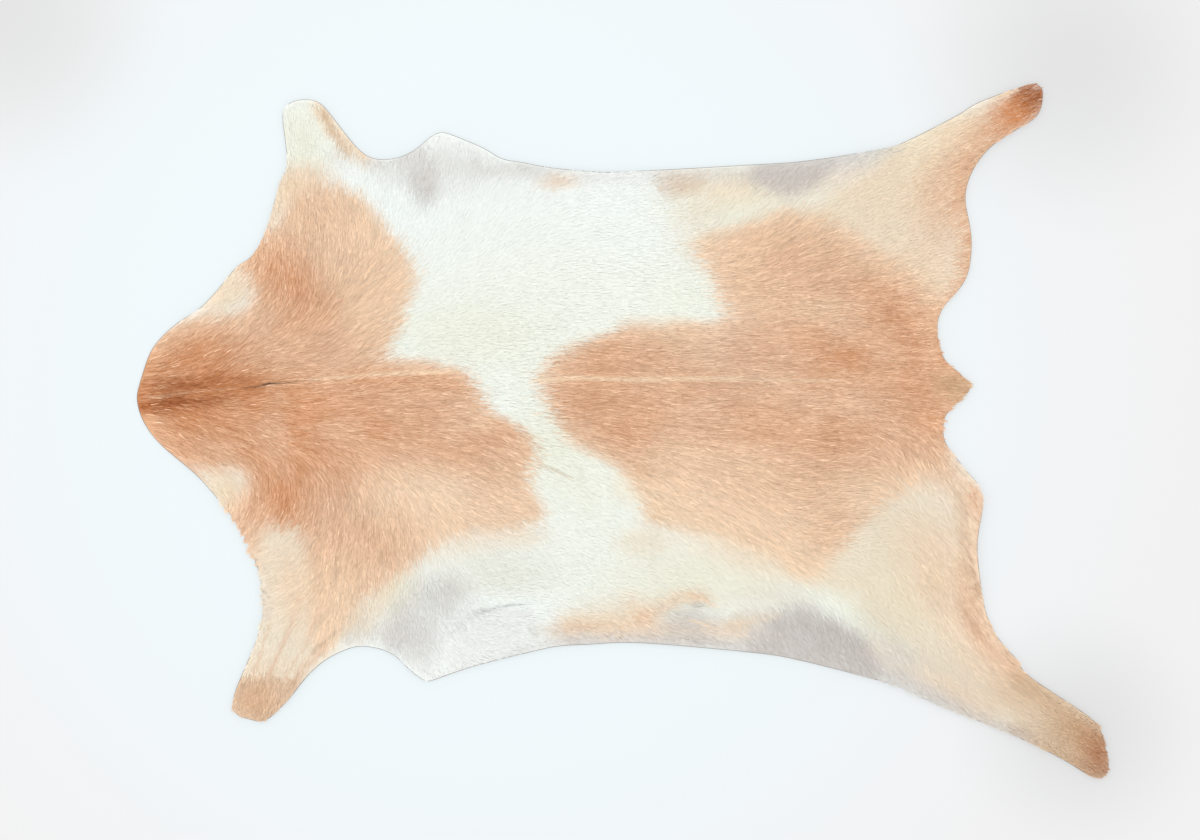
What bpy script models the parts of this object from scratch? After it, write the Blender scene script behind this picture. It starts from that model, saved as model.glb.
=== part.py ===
"""A goatskin rug: one hair-on hide, cut to the animal's own outline and lying flat on its flesh side.

Run it with blender --background --python part.py, or from Blender's text editor.

The part is in metres, with +Z up. The neck points to -X and the hind legs to +X, and the origin is on
the floor, under the middle of the hide's box.

The tables are in millimetres on the hide itself. "along" runs from the edge of the neck towards the
tail. "across" is the distance from the back line, positive on the animal's right side, which is +Y.
"""

import math
import random
from collections import namedtuple

import bpy
import numpy as np
from mathutils import Vector, geometry, noise

MM = 0.001

SKIN_THICKNESS = 1.4
COAT_AT_RIM = 1.7
COAT_ON_BACK = 5.6
RIM_ROUNDING = 11.0
COAT_LUMP = 0.8
COAT_LUMP_LENGTH = 46.0

CURVE_STEPS = 8
EDGE_STEP = 9.0
LOCK_STEP = 4.0
LOCK_SPREAD = 0.25
LOCK_ROOT_SHARE = 0.5
LOCK_TIP_SHARE = (0.15, 0.6)
LEAST_LOCK = 1.0
LOCK_SEED = 7

COAT_PITCH = 21.0
FLOOR_PITCH = 42.0
RIM_RING_INSET = 5.0
RIM_RING_STEP = 14.0
FOLD_STEP = 12.0
LEAST_SPACING = 6.0

HAIR_COLOUR = (0.74, 0.42, 0.23, 1.0)
HAIR_ROUGHNESS = 0.75

EdgePoint = namedtuple("EdgePoint", "along across lock sharp")
Fold = namedtuple("Fold", "name lift groove half_width route")
Swell = namedtuple("Swell", "name along across radius height")


def edge(along, across, lock=0.0, sharp=False):
    """One point of the cut edge. lock is the length of the hair tips that stand out there."""
    return EdgePoint(along, across, lock, sharp)


NECK_TO_RIGHT_FORELEG = [
    edge(0, -15),
    edge(2.5, -4),
    edge(13, 28),
    edge(24, 43.5),
    edge(40, 58),
    edge(63, 73),
    edge(82, 93),
    edge(101, 116),
    edge(113, 122.5),
    edge(125, 140),
    edge(133, 162),
    edge(139, 185, lock=1.5),
    edge(144, 201, lock=2.5),
    edge(149.5, 212, lock=2.0),
    edge(150.5, 227),
]

RIGHT_FORELEG = [
    edge(146, 265),
    edge(150, 277),
    edge(162, 281.5),
    edge(176, 281.5),
    edge(186, 276),
    edge(211, 244),
    edge(225, 228.5),
    edge(239, 222),
    edge(256, 222.5),
]

RIGHT_FLANK = [
    edge(271, 227),
    edge(284, 236.5, lock=1.5),
    edge(300, 248.5, lock=1.5),
    edge(312, 247.5),
    edge(347, 233),
    edge(364, 222.5),
    edge(383, 219.5),
    edge(411, 214),
    edge(448, 210.5),
    edge(483, 209.5),
    edge(613, 216.5),
    edge(669, 220.5),
    edge(743, 232),
]

RIGHT_HIND_LEG = [
    edge(768, 239.5),
    edge(823, 267.5),
    edge(839, 278),
    edge(881, 293.5),
    edge(899, 298),
    edge(905.5, 294, sharp=True),
    edge(904, 274),
    edge(897, 263, sharp=True),
    edge(863, 242.5),
    edge(849, 231),
    edge(837, 215),
    edge(830, 199),
    edge(827.5, 183),
]

RUMP_AND_TAIL = [
    edge(831, 164, lock=1.5),
    edge(834, 143),
    edge(833, 121),
    edge(829, 104),
    edge(820, 91),
    edge(807, 77),
    edge(801, 65),
    edge(799.5, 51),
    edge(802.5, 33),
    edge(810, 18.5, lock=1.5),
    edge(822.5, 9, lock=2.0, sharp=True),
    edge(825, 4),
    edge(835.5, -4, sharp=True),
    edge(824, -16.5, lock=2.0),
    edge(812, -27.5, lock=2.5, sharp=True),
    edge(807, -37, lock=2.5),
    edge(805.5, -49, lock=2.5),
    edge(809, -63, lock=1.5),
    edge(830, -90.5),
]

LEFT_HIND_LEG = [
    edge(840, -101),
    edge(845, -115),
    edge(844.5, -130),
    edge(841, -148),
    edge(839.5, -173),
    edge(847, -225, lock=1.5),
    edge(858, -251.5, lock=2.0),
    edge(870, -268, lock=2.0),
    edge(879, -277, lock=1.5),
    edge(883, -286),
    edge(897, -298.5),
    edge(951, -334.5),
    edge(963, -348, lock=1.5),
    edge(968, -366, lock=2.5),
    edge(971.5, -381, lock=2.5),
    edge(969.5, -390, lock=1.5),
    edge(963, -396),
    edge(948, -391),
    edge(930, -379.5),
    edge(881, -355),
    edge(781, -314),
]

LEFT_FLANK = [
    edge(755, -302),
    edge(663, -278),
    edge(613, -270),
    edge(503, -260.5),
    edge(453, -262),
    edge(419, -264),
    edge(391, -270.5, lock=1.5),
    edge(353, -279.5, lock=2.5),
    edge(321, -289, lock=1.5),
    edge(290, -300, sharp=True),
    edge(273, -288),
    edge(263, -277),
    edge(248, -268),
    edge(224, -263.5),
]

LEFT_FORELEG_TO_NECK = [
    edge(207, -268),
    edge(187, -278.5),
    edge(169, -295),
    edge(153, -315.5),
    edge(137, -332, lock=1.5),
    edge(125, -339.5, lock=2.0),
    edge(110, -336.5, lock=2.5),
    edge(101, -333, lock=2.0),
    edge(95.5, -327, sharp=True),
    edge(98, -311),
    edge(105, -294),
    edge(122, -253),
    edge(126, -231, lock=2.0),
    edge(125.5, -209, lock=3.5),
    edge(121, -187, lock=4.5),
    edge(113, -164, lock=4.0),
    edge(101, -143, lock=3.5),
    edge(90, -128, lock=3.0),
    edge(63, -96),
    edge(29, -67),
    edge(14, -51),
    edge(4, -33.5),
]

CUT_EDGE = (
    NECK_TO_RIGHT_FORELEG
    + RIGHT_FORELEG
    + RIGHT_FLANK
    + RIGHT_HIND_LEG
    + RUMP_AND_TAIL
    + LEFT_HIND_LEG
    + LEFT_FLANK
    + LEFT_FORELEG_TO_NECK
)

# lift raises skin and coat off the floor, and groove presses a valley into the coat alone.
FOLDS = [
    Fold("neck furrow", 0.0, 2.2, 13.0, [(6, -19), (60, -11), (110, -4), (165, 2)]),
    Fold("parting along the back", 0.0, 0.7, 12.0, [(165, 2), (300, 7), (480, 4), (700, 3)]),
    Fold("left elbow crease", 0.0, 1.6, 11.0, [(300, -258), (332, -240), (352, -226), (385, -221)]),
    Fold("left elbow flap", 2.6, 0.0, 17.0, [(318, -268), (345, -248), (372, -238), (392, -252)]),
    Fold("left flank wrinkle", 2.2, 0.0, 15.0, [(425, -246), (480, -239), (520, -228), (560, -214)]),
    Fold("left flank valley", 0.0, 1.0, 12.0, [(440, -255), (520, -244), (575, -229)]),
    Fold("left thigh valley", 0.0, 1.6, 11.0, [(831, -128), (831, -172), (838, -205)]),
    Fold("left thigh rolled edge", 4.2, 0.0, 12.0, [(838, -112), (837, -140), (836, -176), (843, -208)]),
    Fold("right elbow crease", 1.8, 0.0, 20.0, [(262, 214), (285, 205), (310, 200)]),
    Fold("right hock roll", 2.4, 0.0, 14.0, [(812, 205), (830, 228), (856, 252), (886, 270)]),
    Fold("left foreleg crease", 0.0, 1.0, 9.0, [(172, -268), (190, -255), (202, -246)]),
]

SWELLS = [
    Swell("nape", 70, 10, 95, 1.0),
    Swell("right shoulder", 190, 95, 90, 1.2),
    Swell("left shoulder", 185, -110, 95, 1.2),
    Swell("loin", 420, 10, 150, 0.8),
    Swell("right haunch", 700, 95, 110, 1.3),
    Swell("left haunch", 690, -110, 115, 1.3),
    Swell("right foreleg end", 165, 262, 34, -1.0),
    Swell("left foreleg end", 122, -318, 34, -1.0),
    Swell("right belly", 620, 200, 60, -1.6),
    Swell("left belly", 640, -248, 80, -1.8),
    Swell("right elbow skin", 300, 215, 55, -1.4),
    Swell("left elbow skin", 275, -250, 60, -1.4),
]


def clear_scene():
    """Removes whatever the file opened with."""
    for obj in list(bpy.data.objects):
        bpy.data.objects.remove(obj)


def spline_point(before, start, end, after, share):
    """A point on the Catmull-Rom curve from start to end. Each row is along, across and lock."""
    square = share * share
    cube = square * share
    return 0.5 * (
        2 * start
        + (end - before) * share
        + (2 * before - 5 * start + 4 * end - after) * square
        + (3 * start - before - 3 * end + after) * cube
    )


def smooth_edge(points):
    """The closed cut edge as a fine line of (along, across, lock), smooth but for its sharp points."""
    rows = np.array([[p.along, p.across, p.lock] for p in points], float)
    count = len(points)
    line = []
    for i, point in enumerate(points):
        start, end = rows[i], rows[(i + 1) % count]
        before = start - (end - start) if point.sharp else rows[i - 1]
        following = points[(i + 1) % count]
        after = end + (end - start) if following.sharp else rows[(i + 2) % count]
        for step in range(CURVE_STEPS):
            line.append(spline_point(before, start, end, after, step / CURVE_STEPS))
    return np.array(line)


def lengths_along(line):
    """How far each point of a closed line lies from its first one, with the whole length last."""
    steps = np.linalg.norm(np.roll(line[:, :2], -1, axis=0) - line[:, :2], axis=1)
    return np.concatenate([[0.0], np.cumsum(steps)])


def at_length(line, lengths, places):
    """The rows of a closed line at these distances from its first point."""
    closed = np.vstack([line, line[:1]])
    return np.stack([np.interp(places, lengths, closed[:, k]) for k in range(line.shape[1])], axis=1)


def outward(line, lengths, place):
    """The direction that points out of the hide at a place on its edge."""
    whole, reach = lengths[-1], LOCK_STEP
    ends = at_length(line, lengths, [(place - reach) % whole, (place + reach) % whole])
    way = Vector(ends[1][:2] - ends[0][:2]).normalized()
    return np.array([-way.y, way.x])


def rim_with_locks(line):
    """The hide's outline: evenly spaced points, and a tooth for each lock where hair stands out."""
    lengths = lengths_along(line)
    draw = random.Random(LOCK_SEED)
    places = [lengths[CURVE_STEPS * i] for i, point in enumerate(CUT_EDGE) if point.sharp]
    rim, place = [], 0.0
    while place < lengths[-1] - LOCK_STEP:
        along, across, lock = at_length(line, lengths, [place])[0]
        here = np.array([along, across])
        near_sharp = any(abs(place - sharp) < LOCK_STEP for sharp in places)
        if lock < LEAST_LOCK or near_sharp:
            rim.append(here)
            left = [sharp - place for sharp in places if sharp > place + 0.01]
            place += min([EDGE_STEP] + [gap for gap in left if gap < EDGE_STEP])
            continue
        out = outward(line, lengths, place)
        rim.append(here - out * lock * LOCK_ROOT_SHARE)
        tip_place = place + LOCK_STEP * draw.uniform(1 - LOCK_SPREAD, 1 + LOCK_SPREAD)
        tip = at_length(line, lengths, [tip_place % lengths[-1]])[0][:2]
        rim.append(tip + out * lock * draw.uniform(*LOCK_TIP_SHARE))
        place = tip_place + LOCK_STEP * draw.uniform(1 - LOCK_SPREAD, 1 + LOCK_SPREAD)
    return np.array(rim)


def distance_to_line(points, line, closed):
    """The distance from each point to the nearest stretch of a line."""
    starts = line if closed else line[:-1]
    ends = np.roll(line, -1, axis=0) if closed else line[1:]
    ways = ends - starts
    squares = np.maximum((ways**2).sum(1), 1e-9)
    offsets = points[:, None] - starts[None]
    shares = np.clip((offsets * ways).sum(2) / squares, 0, 1)
    return np.linalg.norm(offsets - shares[..., None] * ways, axis=2).min(1)


def hump(distance, half_width):
    """1 on the line, falling softly to 0 at half_width."""
    return np.cos(np.clip(distance / half_width, 0, 1) * math.pi / 2) ** 2


def fold_heights(points, column):
    """The sum of all the folds' lift or groove at each point."""
    total = np.zeros(len(points))
    for fold in FOLDS:
        size = getattr(fold, column)
        if size:
            distance = distance_to_line(points, np.array(fold.route, float), closed=False)
            total += size * hump(distance, fold.half_width)
    return total


def skin_lift(points):
    """How far the flesh side stands off the floor: nothing but at folds and rolled edges."""
    return fold_heights(points, "lift")


def coat_depth(points, rim_line):
    """The depth of the hair: full on the back, thin at the cut edge, and a little lumpy."""
    inside = 1 - np.exp(-distance_to_line(points, rim_line, closed=True) / RIM_ROUNDING)
    depth = COAT_AT_RIM + (COAT_ON_BACK - COAT_AT_RIM) * inside
    for swell in SWELLS:
        distance = np.hypot(points[:, 0] - swell.along, points[:, 1] - swell.across)
        depth += swell.height * hump(distance, swell.radius) * inside
    lumps = [noise.noise(Vector((x, y, 0.0)) / COAT_LUMP_LENGTH) for x, y in points]
    depth += COAT_LUMP * np.array(lumps) * inside
    return np.maximum(depth - fold_heights(points, "groove"), COAT_AT_RIM * 0.6)


def is_inside(points, loop):
    """Which points lie inside a closed loop."""
    x, y = points[:, None, 0], points[:, None, 1]
    x1, y1 = loop[:, 0], loop[:, 1]
    x2, y2 = np.roll(x1, -1), np.roll(y1, -1)
    straddles = (y1 > y) != (y2 > y)
    rise = np.where(y2 == y1, 1e-9, y2 - y1)
    left_of = x < (x2 - x1) * (y - y1) / rise + x1
    return (straddles & left_of).sum(1) % 2 == 1


def lattice(loop, pitch):
    """Points in even triangles inside the loop, none nearer to it than half their pitch."""
    low, high = loop.min(0), loop.max(0)
    row_step = pitch * math.sqrt(3) / 2
    rows = np.arange(low[1], high[1], row_step)
    points = [
        (x + (pitch / 2 if i % 2 else 0.0), y)
        for i, y in enumerate(rows)
        for x in np.arange(low[0], high[0], pitch)
    ]
    points = np.array(points)
    points = points[is_inside(points, loop)]
    return points[distance_to_line(points, loop, closed=True) > pitch / 2]


def fold_points(loop, clearance):
    """Points on the crest and at the feet of each fold, so that the mesh follows it."""
    found = []
    for fold in FOLDS:
        route = np.array(fold.route, float)
        for start, end in zip(route[:-1], route[1:]):
            way = end - start
            length = np.linalg.norm(way)
            side = np.array([-way[1], way[0]]) / length * fold.half_width
            for share in np.arange(0, 1, FOLD_STEP / length):
                middle = start + way * share
                found += [middle, middle + side, middle - side, middle + side / 2, middle - side / 2]
    found = np.array(found)
    found = found[is_inside(found, loop)]
    return found[distance_to_line(found, loop, closed=True) > clearance]


def rim_ring(line, loop):
    """A ring of points just inside the edge, where the coat rounds over."""
    lengths = lengths_along(line)
    ring = []
    for place in np.arange(0, lengths[-1], RIM_RING_STEP):
        here = at_length(line, lengths, [place])[0][:2]
        ring.append(here - outward(line, lengths, place) * RIM_RING_INSET)
    ring = np.array(ring)
    ring = ring[is_inside(ring, loop)]
    return ring[distance_to_line(ring, loop, closed=True) > RIM_RING_INSET * 0.6]


def well_apart(groups):
    """All the groups' points in order, without any that crowds an earlier one."""
    kept = np.zeros((0, 2))
    for group in groups:
        for point in group:
            if not len(kept) or np.hypot(*(kept - point).T).min() > LEAST_SPACING:
                kept = np.vstack([kept, point])
    return kept


def triangles_over(loop, inner):
    """Triangles that fill the loop through its own points and the inner ones. The loop comes first."""
    corners = [Vector(p) for p in np.vstack([loop, inner])]
    filled = geometry.delaunay_2d_cdt(corners, [], [list(range(len(loop)))], 1, 1e-6)
    points, faces, sources = filled[0], filled[2], filled[3]
    original = [source[0] for source in sources]
    assert len(points) == len(corners), "the outline crosses itself"
    turned = []
    for face in faces:
        a, b, c = (points[i] for i in face)
        order = face if (b - a).cross(c - a) > 0 else face[::-1]
        turned.append([original[i] for i in order])
    return turned


def hair_material():
    """The coat's mean colour, a warm tan with the dull gloss of hair."""
    material = bpy.data.materials.new("goat_hair")
    material.use_nodes = True
    shader = material.node_tree.nodes["Principled BSDF"]
    shader.inputs["Base Color"].default_value = HAIR_COLOUR
    shader.inputs["Roughness"].default_value = HAIR_ROUGHNESS
    shader.inputs["Metallic"].default_value = 0.0
    return material


def build_hide():
    """The whole rug as one closed solid: flat flesh side, upright cut edge and lumpy coat."""
    line = smooth_edge(CUT_EDGE)
    loop = rim_with_locks(line)[::-1]
    folds = fold_points(loop, RIM_RING_INSET)
    above = well_apart([rim_ring(line, loop), folds, lattice(loop, COAT_PITCH)])
    below = well_apart([folds, lattice(loop, FLOOR_PITCH)])
    rim_count, above_count = len(loop), len(above)

    middle = (loop.min(0) + loop.max(0)) / 2
    top = np.vstack([loop, above])
    floor = np.vstack([loop, below])
    top_heights = skin_lift(top) + SKIN_THICKNESS + coat_depth(top, loop)
    floor_heights = skin_lift(floor)
    corners = [(*(p - middle), z) for p, z in zip(top, top_heights)]
    corners += [(*(p - middle), z) for p, z in zip(floor, floor_heights)]

    first_floor = rim_count + above_count
    faces = triangles_over(loop, above)
    faces += [[first_floor + i for i in face[::-1]] for face in triangles_over(loop, below)]
    for i in range(rim_count):
        following = (i + 1) % rim_count
        faces.append([first_floor + i, first_floor + following, following, i])

    mesh = bpy.data.meshes.new("goatskin")
    mesh.from_pydata([Vector(corner) * MM for corner in corners], [], faces)
    mesh.materials.append(hair_material())
    mesh.shade_smooth()
    mesh.set_sharp_from_angle(angle=math.radians(50))
    hide = bpy.data.objects.new("goatskin", mesh)
    bpy.context.scene.collection.objects.link(hide)
    return hide


clear_scene()
build_hide()
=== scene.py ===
"""The looks of a goatskin rug: a tanned hide with its hair on, lying on a pale floor, seen from above.

The hide's cut edge and its heights come from the frame. The leather is one thin sheet in that shape,
and the coat is joined locks of hair that grow from it, lie along the flow of the coat and take their
colour from the patches of the hide.

The tables are in millimetres on the hide itself. "along" runs from the edge of the neck towards the
tail, and "across" is the distance from the back line, positive on the animal's right side. The sizes
of the leather and the locks are in millimetres too, those of the finishes and the studio in metres.
"""

from __future__ import annotations

import logging
import math
import sys
from collections.abc import Callable
from dataclasses import dataclass, field
from enum import Enum
from typing import Any

import bmesh
import bpy
import numpy as np
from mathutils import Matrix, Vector, geometry
from mathutils.bvhtree import BVHTree

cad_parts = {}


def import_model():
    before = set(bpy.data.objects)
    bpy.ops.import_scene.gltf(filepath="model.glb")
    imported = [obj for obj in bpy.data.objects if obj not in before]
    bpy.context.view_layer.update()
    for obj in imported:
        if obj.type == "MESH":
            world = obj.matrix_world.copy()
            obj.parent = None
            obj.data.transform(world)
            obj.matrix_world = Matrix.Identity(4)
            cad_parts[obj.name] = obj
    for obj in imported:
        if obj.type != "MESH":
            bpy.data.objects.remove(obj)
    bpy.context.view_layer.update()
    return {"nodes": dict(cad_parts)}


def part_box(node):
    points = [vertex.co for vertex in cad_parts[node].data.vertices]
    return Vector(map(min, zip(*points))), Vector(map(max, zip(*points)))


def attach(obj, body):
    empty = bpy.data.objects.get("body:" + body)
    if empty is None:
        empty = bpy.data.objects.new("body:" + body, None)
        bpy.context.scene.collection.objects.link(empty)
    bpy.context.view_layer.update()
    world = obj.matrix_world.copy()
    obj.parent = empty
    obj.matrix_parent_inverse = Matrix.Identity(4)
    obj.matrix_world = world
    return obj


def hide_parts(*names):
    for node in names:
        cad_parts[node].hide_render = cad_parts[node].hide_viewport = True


log = logging.getLogger("goatskin rug")

MM = 0.001
HIDE_NODE = "goatskin"
LEFT_REACH = 396.0

Colour = tuple[float, float, float]
Spot = tuple[float, float]


def screen(red: int, green: int, blue: int) -> Colour:
    """A colour as seen on a screen, from 0 to 255, turned into light."""

    def light(part: int) -> float:
        """One part of the colour as light."""
        share = part / 255
        return share / 12.92 if share <= 0.04045 else ((share + 0.055) / 1.055) ** 2.4

    return light(red), light(green), light(blue)


def eased(share: np.ndarray) -> np.ndarray:
    """Shares from 0 to 1 that leave 0 and reach 1 softly."""
    return share * share * (3 - 2 * share)


def soft_step(value: np.ndarray, low: float, high: float) -> np.ndarray:
    """0 up to low, 1 from high on, and a smooth rise between them."""
    return eased(np.clip((value - low) / (high - low), 0, 1))


def hump(share: np.ndarray) -> np.ndarray:
    """1 where share is 0, falling softly to 0 where it is 1 or more."""
    return np.cos(np.clip(share, 0, 1) * math.pi / 2) ** 2


def distance_to(spots: np.ndarray, line: np.ndarray, closed: bool) -> np.ndarray:
    """The distance from each spot to the nearest stretch of a line.

    Args:
        spots: one row of along and across for each spot.
        line: the line's corners, in order.
        closed: whether the line's last corner joins its first.

    Returns:
        One distance for each spot.
    """
    starts = line if closed else line[:-1]
    ways = (np.roll(line, -1, axis=0) if closed else line[1:]) - starts
    squares = np.maximum((ways**2).sum(1), 1e-9)
    found = np.empty(len(spots))
    for part in np.array_split(np.arange(len(spots)), len(spots) // 8000 + 1):
        offsets = spots[part, None] - starts
        shares = np.clip((offsets * ways).sum(2) / squares, 0, 1)
        found[part] = np.linalg.norm(offsets - shares[..., None] * ways, axis=2).min(1)
    return found


def is_inside(spots: np.ndarray, loop: np.ndarray) -> np.ndarray:
    """Which spots lie inside a closed loop."""
    inside = np.zeros(len(spots), bool)
    for (x1, y1), (x2, y2) in zip(loop, np.roll(loop, -1, axis=0)):
        if y1 != y2:
            straddles = (y1 > spots[:, 1]) != (y2 > spots[:, 1])
            inside ^= straddles & (spots[:, 0] < (x2 - x1) * (spots[:, 1] - y1) / (y2 - y1) + x1)
    return inside


def beyond(spots: np.ndarray, loop: np.ndarray) -> np.ndarray:
    """How far each spot lies outside a closed loop, negative inside it."""
    distance = distance_to(spots, loop, closed=True)
    return np.where(is_inside(spots, loop), -distance, distance)


def directions(turns: np.ndarray) -> np.ndarray:
    """A row of along and across, one millimetre long, for each turn in radians."""
    return np.stack([np.cos(turns), np.sin(turns)], axis=1)


def around(line: list[Spot], margin: float) -> tuple[np.ndarray, np.ndarray]:
    """The low and high corners of a box that holds a line with a margin round it."""
    corners = np.array(line, float)
    return corners.min(0) - margin, corners.max(0) + margin


def lattice(low: np.ndarray, high: np.ndarray, spacing: float) -> np.ndarray:
    """Even spots in triangles over a box."""
    rows = []
    for i, y in enumerate(np.arange(low[1], high[1], spacing * math.sqrt(3) / 2)):
        x = np.arange(low[0], high[0], spacing) + (spacing / 2 if i % 2 else 0)
        rows.append(np.column_stack([x, np.full(len(x), y)]))
    return np.vstack(rows)


def between(values: np.ndarray, low: np.ndarray, high: np.ndarray, share: np.ndarray) -> np.ndarray:
    """The numbers between the points of a grid.

    Args:
        values: the grid.
        low: the number of the grid point below each spot, both ways.
        high: the number of the grid point above each spot, both ways.
        share: how far each spot is from the one to the other, both ways.

    Returns:
        One number for each spot.
    """
    (i, j), (i_next, j_next) = low.T, high.T
    near = values[i, j] * (1 - share[:, 0]) + values[i_next, j] * share[:, 0]
    far = values[i, j_next] * (1 - share[:, 0]) + values[i_next, j_next] * share[:, 0]
    return near * (1 - share[:, 1]) + far * share[:, 1]


class Ripple:
    """Soft seeded noise from -1 to 1 over the hide."""

    CELLS = 256

    def __init__(self, length: float, seed: int) -> None:
        """Draws the noise.

        Args:
            length: about the distance between two crests, in millimetres.
            seed: the seed of the draw.
        """
        self.length = length
        self.draws = np.random.default_rng(seed).uniform(-1, 1, (self.CELLS, self.CELLS))

    def at(self, spots: np.ndarray) -> np.ndarray:
        """The noise at each spot."""
        place = spots / self.length
        cell = np.floor(place).astype(int)
        return between(self.draws, cell % self.CELLS, (cell + 1) % self.CELLS, eased(place - cell))


@dataclass
class Chart:
    """A number for every spot on and around the hide, kept on an even grid."""

    low: np.ndarray
    step: float
    values: np.ndarray

    def at(self, spots: np.ndarray) -> np.ndarray:
        """The number at each spot, smooth between the grid's points."""
        last = np.array(self.values.shape) - 1.001  # just short of the last point
        place = np.clip((spots - self.low) / self.step, 0, last)
        cell = place.astype(int)
        return between(self.values, cell, cell + 1, place - cell)


class HideForm:
    """The hide's cut edge and its heights, read from the frame."""

    MARGIN = 24.0
    CHART_STEP = 2.0
    HEIGHT_STEP = 4.0
    HEIGHT_BLUR = 2
    WIDE_BLUR = 12
    LEAST_RISE = 0.05

    def __init__(self, node: bpy.types.Object) -> None:
        """Reads the shape of the frame's hide.

        Args:
            node: the frame's own object, which stays as it is.
        """
        low, high = (np.array(corner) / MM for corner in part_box(HIDE_NODE))
        self.origin = np.array([low[0], low[1] + LEFT_REACH])
        self.low = low[:2] - self.origin
        self.high = high[:2] - self.origin
        mesh = bmesh.new()
        mesh.from_mesh(node.data)
        bmesh.ops.remove_doubles(mesh, verts=mesh.verts, dist=1e-6)
        mesh.normal_update()
        self.edge = self.cut_edge(mesh)
        self.tree = BVHTree.FromBMesh(mesh)
        mesh.free()
        self.outside = self.chart(self.CHART_STEP, lambda spots: beyond(spots, self.edge))
        self.top = self.heights(from_above=True)
        self.bottom = self.heights(from_above=False)

    def cut_edge(self, mesh: bmesh.types.BMesh) -> np.ndarray:
        """The closed line where the coat's face meets the upright wall, in order."""
        rim = {}
        for edge in mesh.edges:
            ups = [face for face in edge.link_faces if face.normal.z > self.LEAST_RISE]
            if len(ups) == 1 and len(edge.link_faces) == 2:
                corners = list(ups[0].verts)
                i = corners.index(edge.verts[0])
                forward = corners[(i + 1) % len(corners)] == edge.verts[1]
                start, end = edge.verts if forward else reversed(edge.verts)
                rim[start] = end
        first = next(iter(rim))
        loop, corner = [first], rim[first]
        while corner != first:
            loop.append(corner)
            corner = rim[corner]
        return np.array([corner.co.xy for corner in loop]) / MM - self.origin

    def chart(self, step: float, measure: Callable[[np.ndarray], np.ndarray]) -> Chart:
        """A chart of what measure gives for an array of spots."""
        low = self.low - self.MARGIN
        counts = np.ceil((self.high + self.MARGIN - low) / step).astype(int) + 1
        i, j = np.meshgrid(np.arange(counts[0]), np.arange(counts[1]), indexing="ij")
        spots = low + np.stack([i.ravel(), j.ravel()], axis=1) * step
        return Chart(low, step, measure(spots).reshape(counts))

    def heights(self, from_above: bool) -> Chart:
        """The height of the hide's face above or below, smoothed, and carried on past its edge."""
        start, way = (1.0, -1.0) if from_above else (-1.0, 1.0)

        def cast(spots: np.ndarray) -> np.ndarray:
            """The height of the face at each spot, or no number off the hide."""
            found = []
            for x, y in (spots + self.origin) * MM:
                hit = self.tree.ray_cast(Vector((x, y, start)), Vector((0, 0, way)))[0]
                found.append(hit.z / MM if hit else np.nan)
            return np.array(found)

        chart = self.chart(self.HEIGHT_STEP, cast)
        known = ~np.isnan(chart.values)
        total, weight = np.where(known, chart.values, 0.0), known.astype(float)
        near, wide = (
            self.blurred(total, times) / np.maximum(self.blurred(weight, times), 1e-9)
            for times in (self.HEIGHT_BLUR, self.WIDE_BLUR)
        )
        chart.values = np.where(self.blurred(weight, self.HEIGHT_BLUR) > 1e-6, near, wide)
        return chart

    @staticmethod
    def blurred(values: np.ndarray, times: int) -> np.ndarray:
        """The grid after a three-point blur both ways, repeated."""
        for _ in range(times):
            padded = np.pad(values, 1, mode="edge")
            values = (padded[:-2, 1:-1] + 2 * padded[1:-1, 1:-1] + padded[2:, 1:-1]) / 4
            padded = np.pad(values, 1, mode="edge")
            values = (padded[1:-1, :-2] + 2 * padded[1:-1, 1:-1] + padded[1:-1, 2:]) / 4
        return values

    def placed(self, spots: np.ndarray, heights: np.ndarray) -> np.ndarray:
        """Points in the row frame, in metres, for spots on the hide and heights in millimetres."""
        return np.column_stack([spots + self.origin, heights]) * MM


class Tone(Enum):
    """The colours that a lock of this coat can have, over its white, each laid over the ones before."""

    CREAM = "cream"
    GOLDEN = "golden"
    FAWN = "fawn"
    TAN = "tan"
    DEEP = "deep_tan"
    KHAKI = "khaki"
    BROWN = "brown"
    GREY = "grey"
    PALE = "pale"
    # painted shade: the dark of the creases, of the furrow behind the neck and of the shadow at a fold's tip
    DARK = "painted_shade"


@dataclass(frozen=True)
class Blotch:
    """A soft oval of one tone. turn is in degrees from the tail's way towards the right side."""

    tone: Tone
    strength: float
    along: float
    across: float
    half_length: float
    half_width: float
    turn: float = 0.0

    def box(self) -> tuple[np.ndarray, np.ndarray]:
        """The low and high corners of the area that the mark can reach."""
        return around([(self.along, self.across)], max(self.half_length, self.half_width))

    def amount(self, spots: np.ndarray) -> np.ndarray:
        """How much of the tone each spot has, from 0 to 1."""
        turn = math.radians(self.turn)
        offsets = spots - (self.along, self.across)
        long_way = offsets @ (math.cos(turn), math.sin(turn)) / self.half_length
        short_way = offsets @ (-math.sin(turn), math.cos(turn)) / self.half_width
        return self.strength * hump(np.hypot(long_way, short_way))


@dataclass(frozen=True)
class Streak:
    """A line of one tone along a route, fading at its sides."""

    tone: Tone
    strength: float
    half_width: float
    route: list[Spot]

    def box(self) -> tuple[np.ndarray, np.ndarray]:
        """The low and high corners of the area that the mark can reach."""
        return around(self.route, self.half_width)

    def amount(self, spots: np.ndarray) -> np.ndarray:
        """How much of the tone each spot has, from 0 to 1."""
        distance = distance_to(spots, np.array(self.route, float), closed=False)
        return self.strength * hump(distance / self.half_width)


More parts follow.
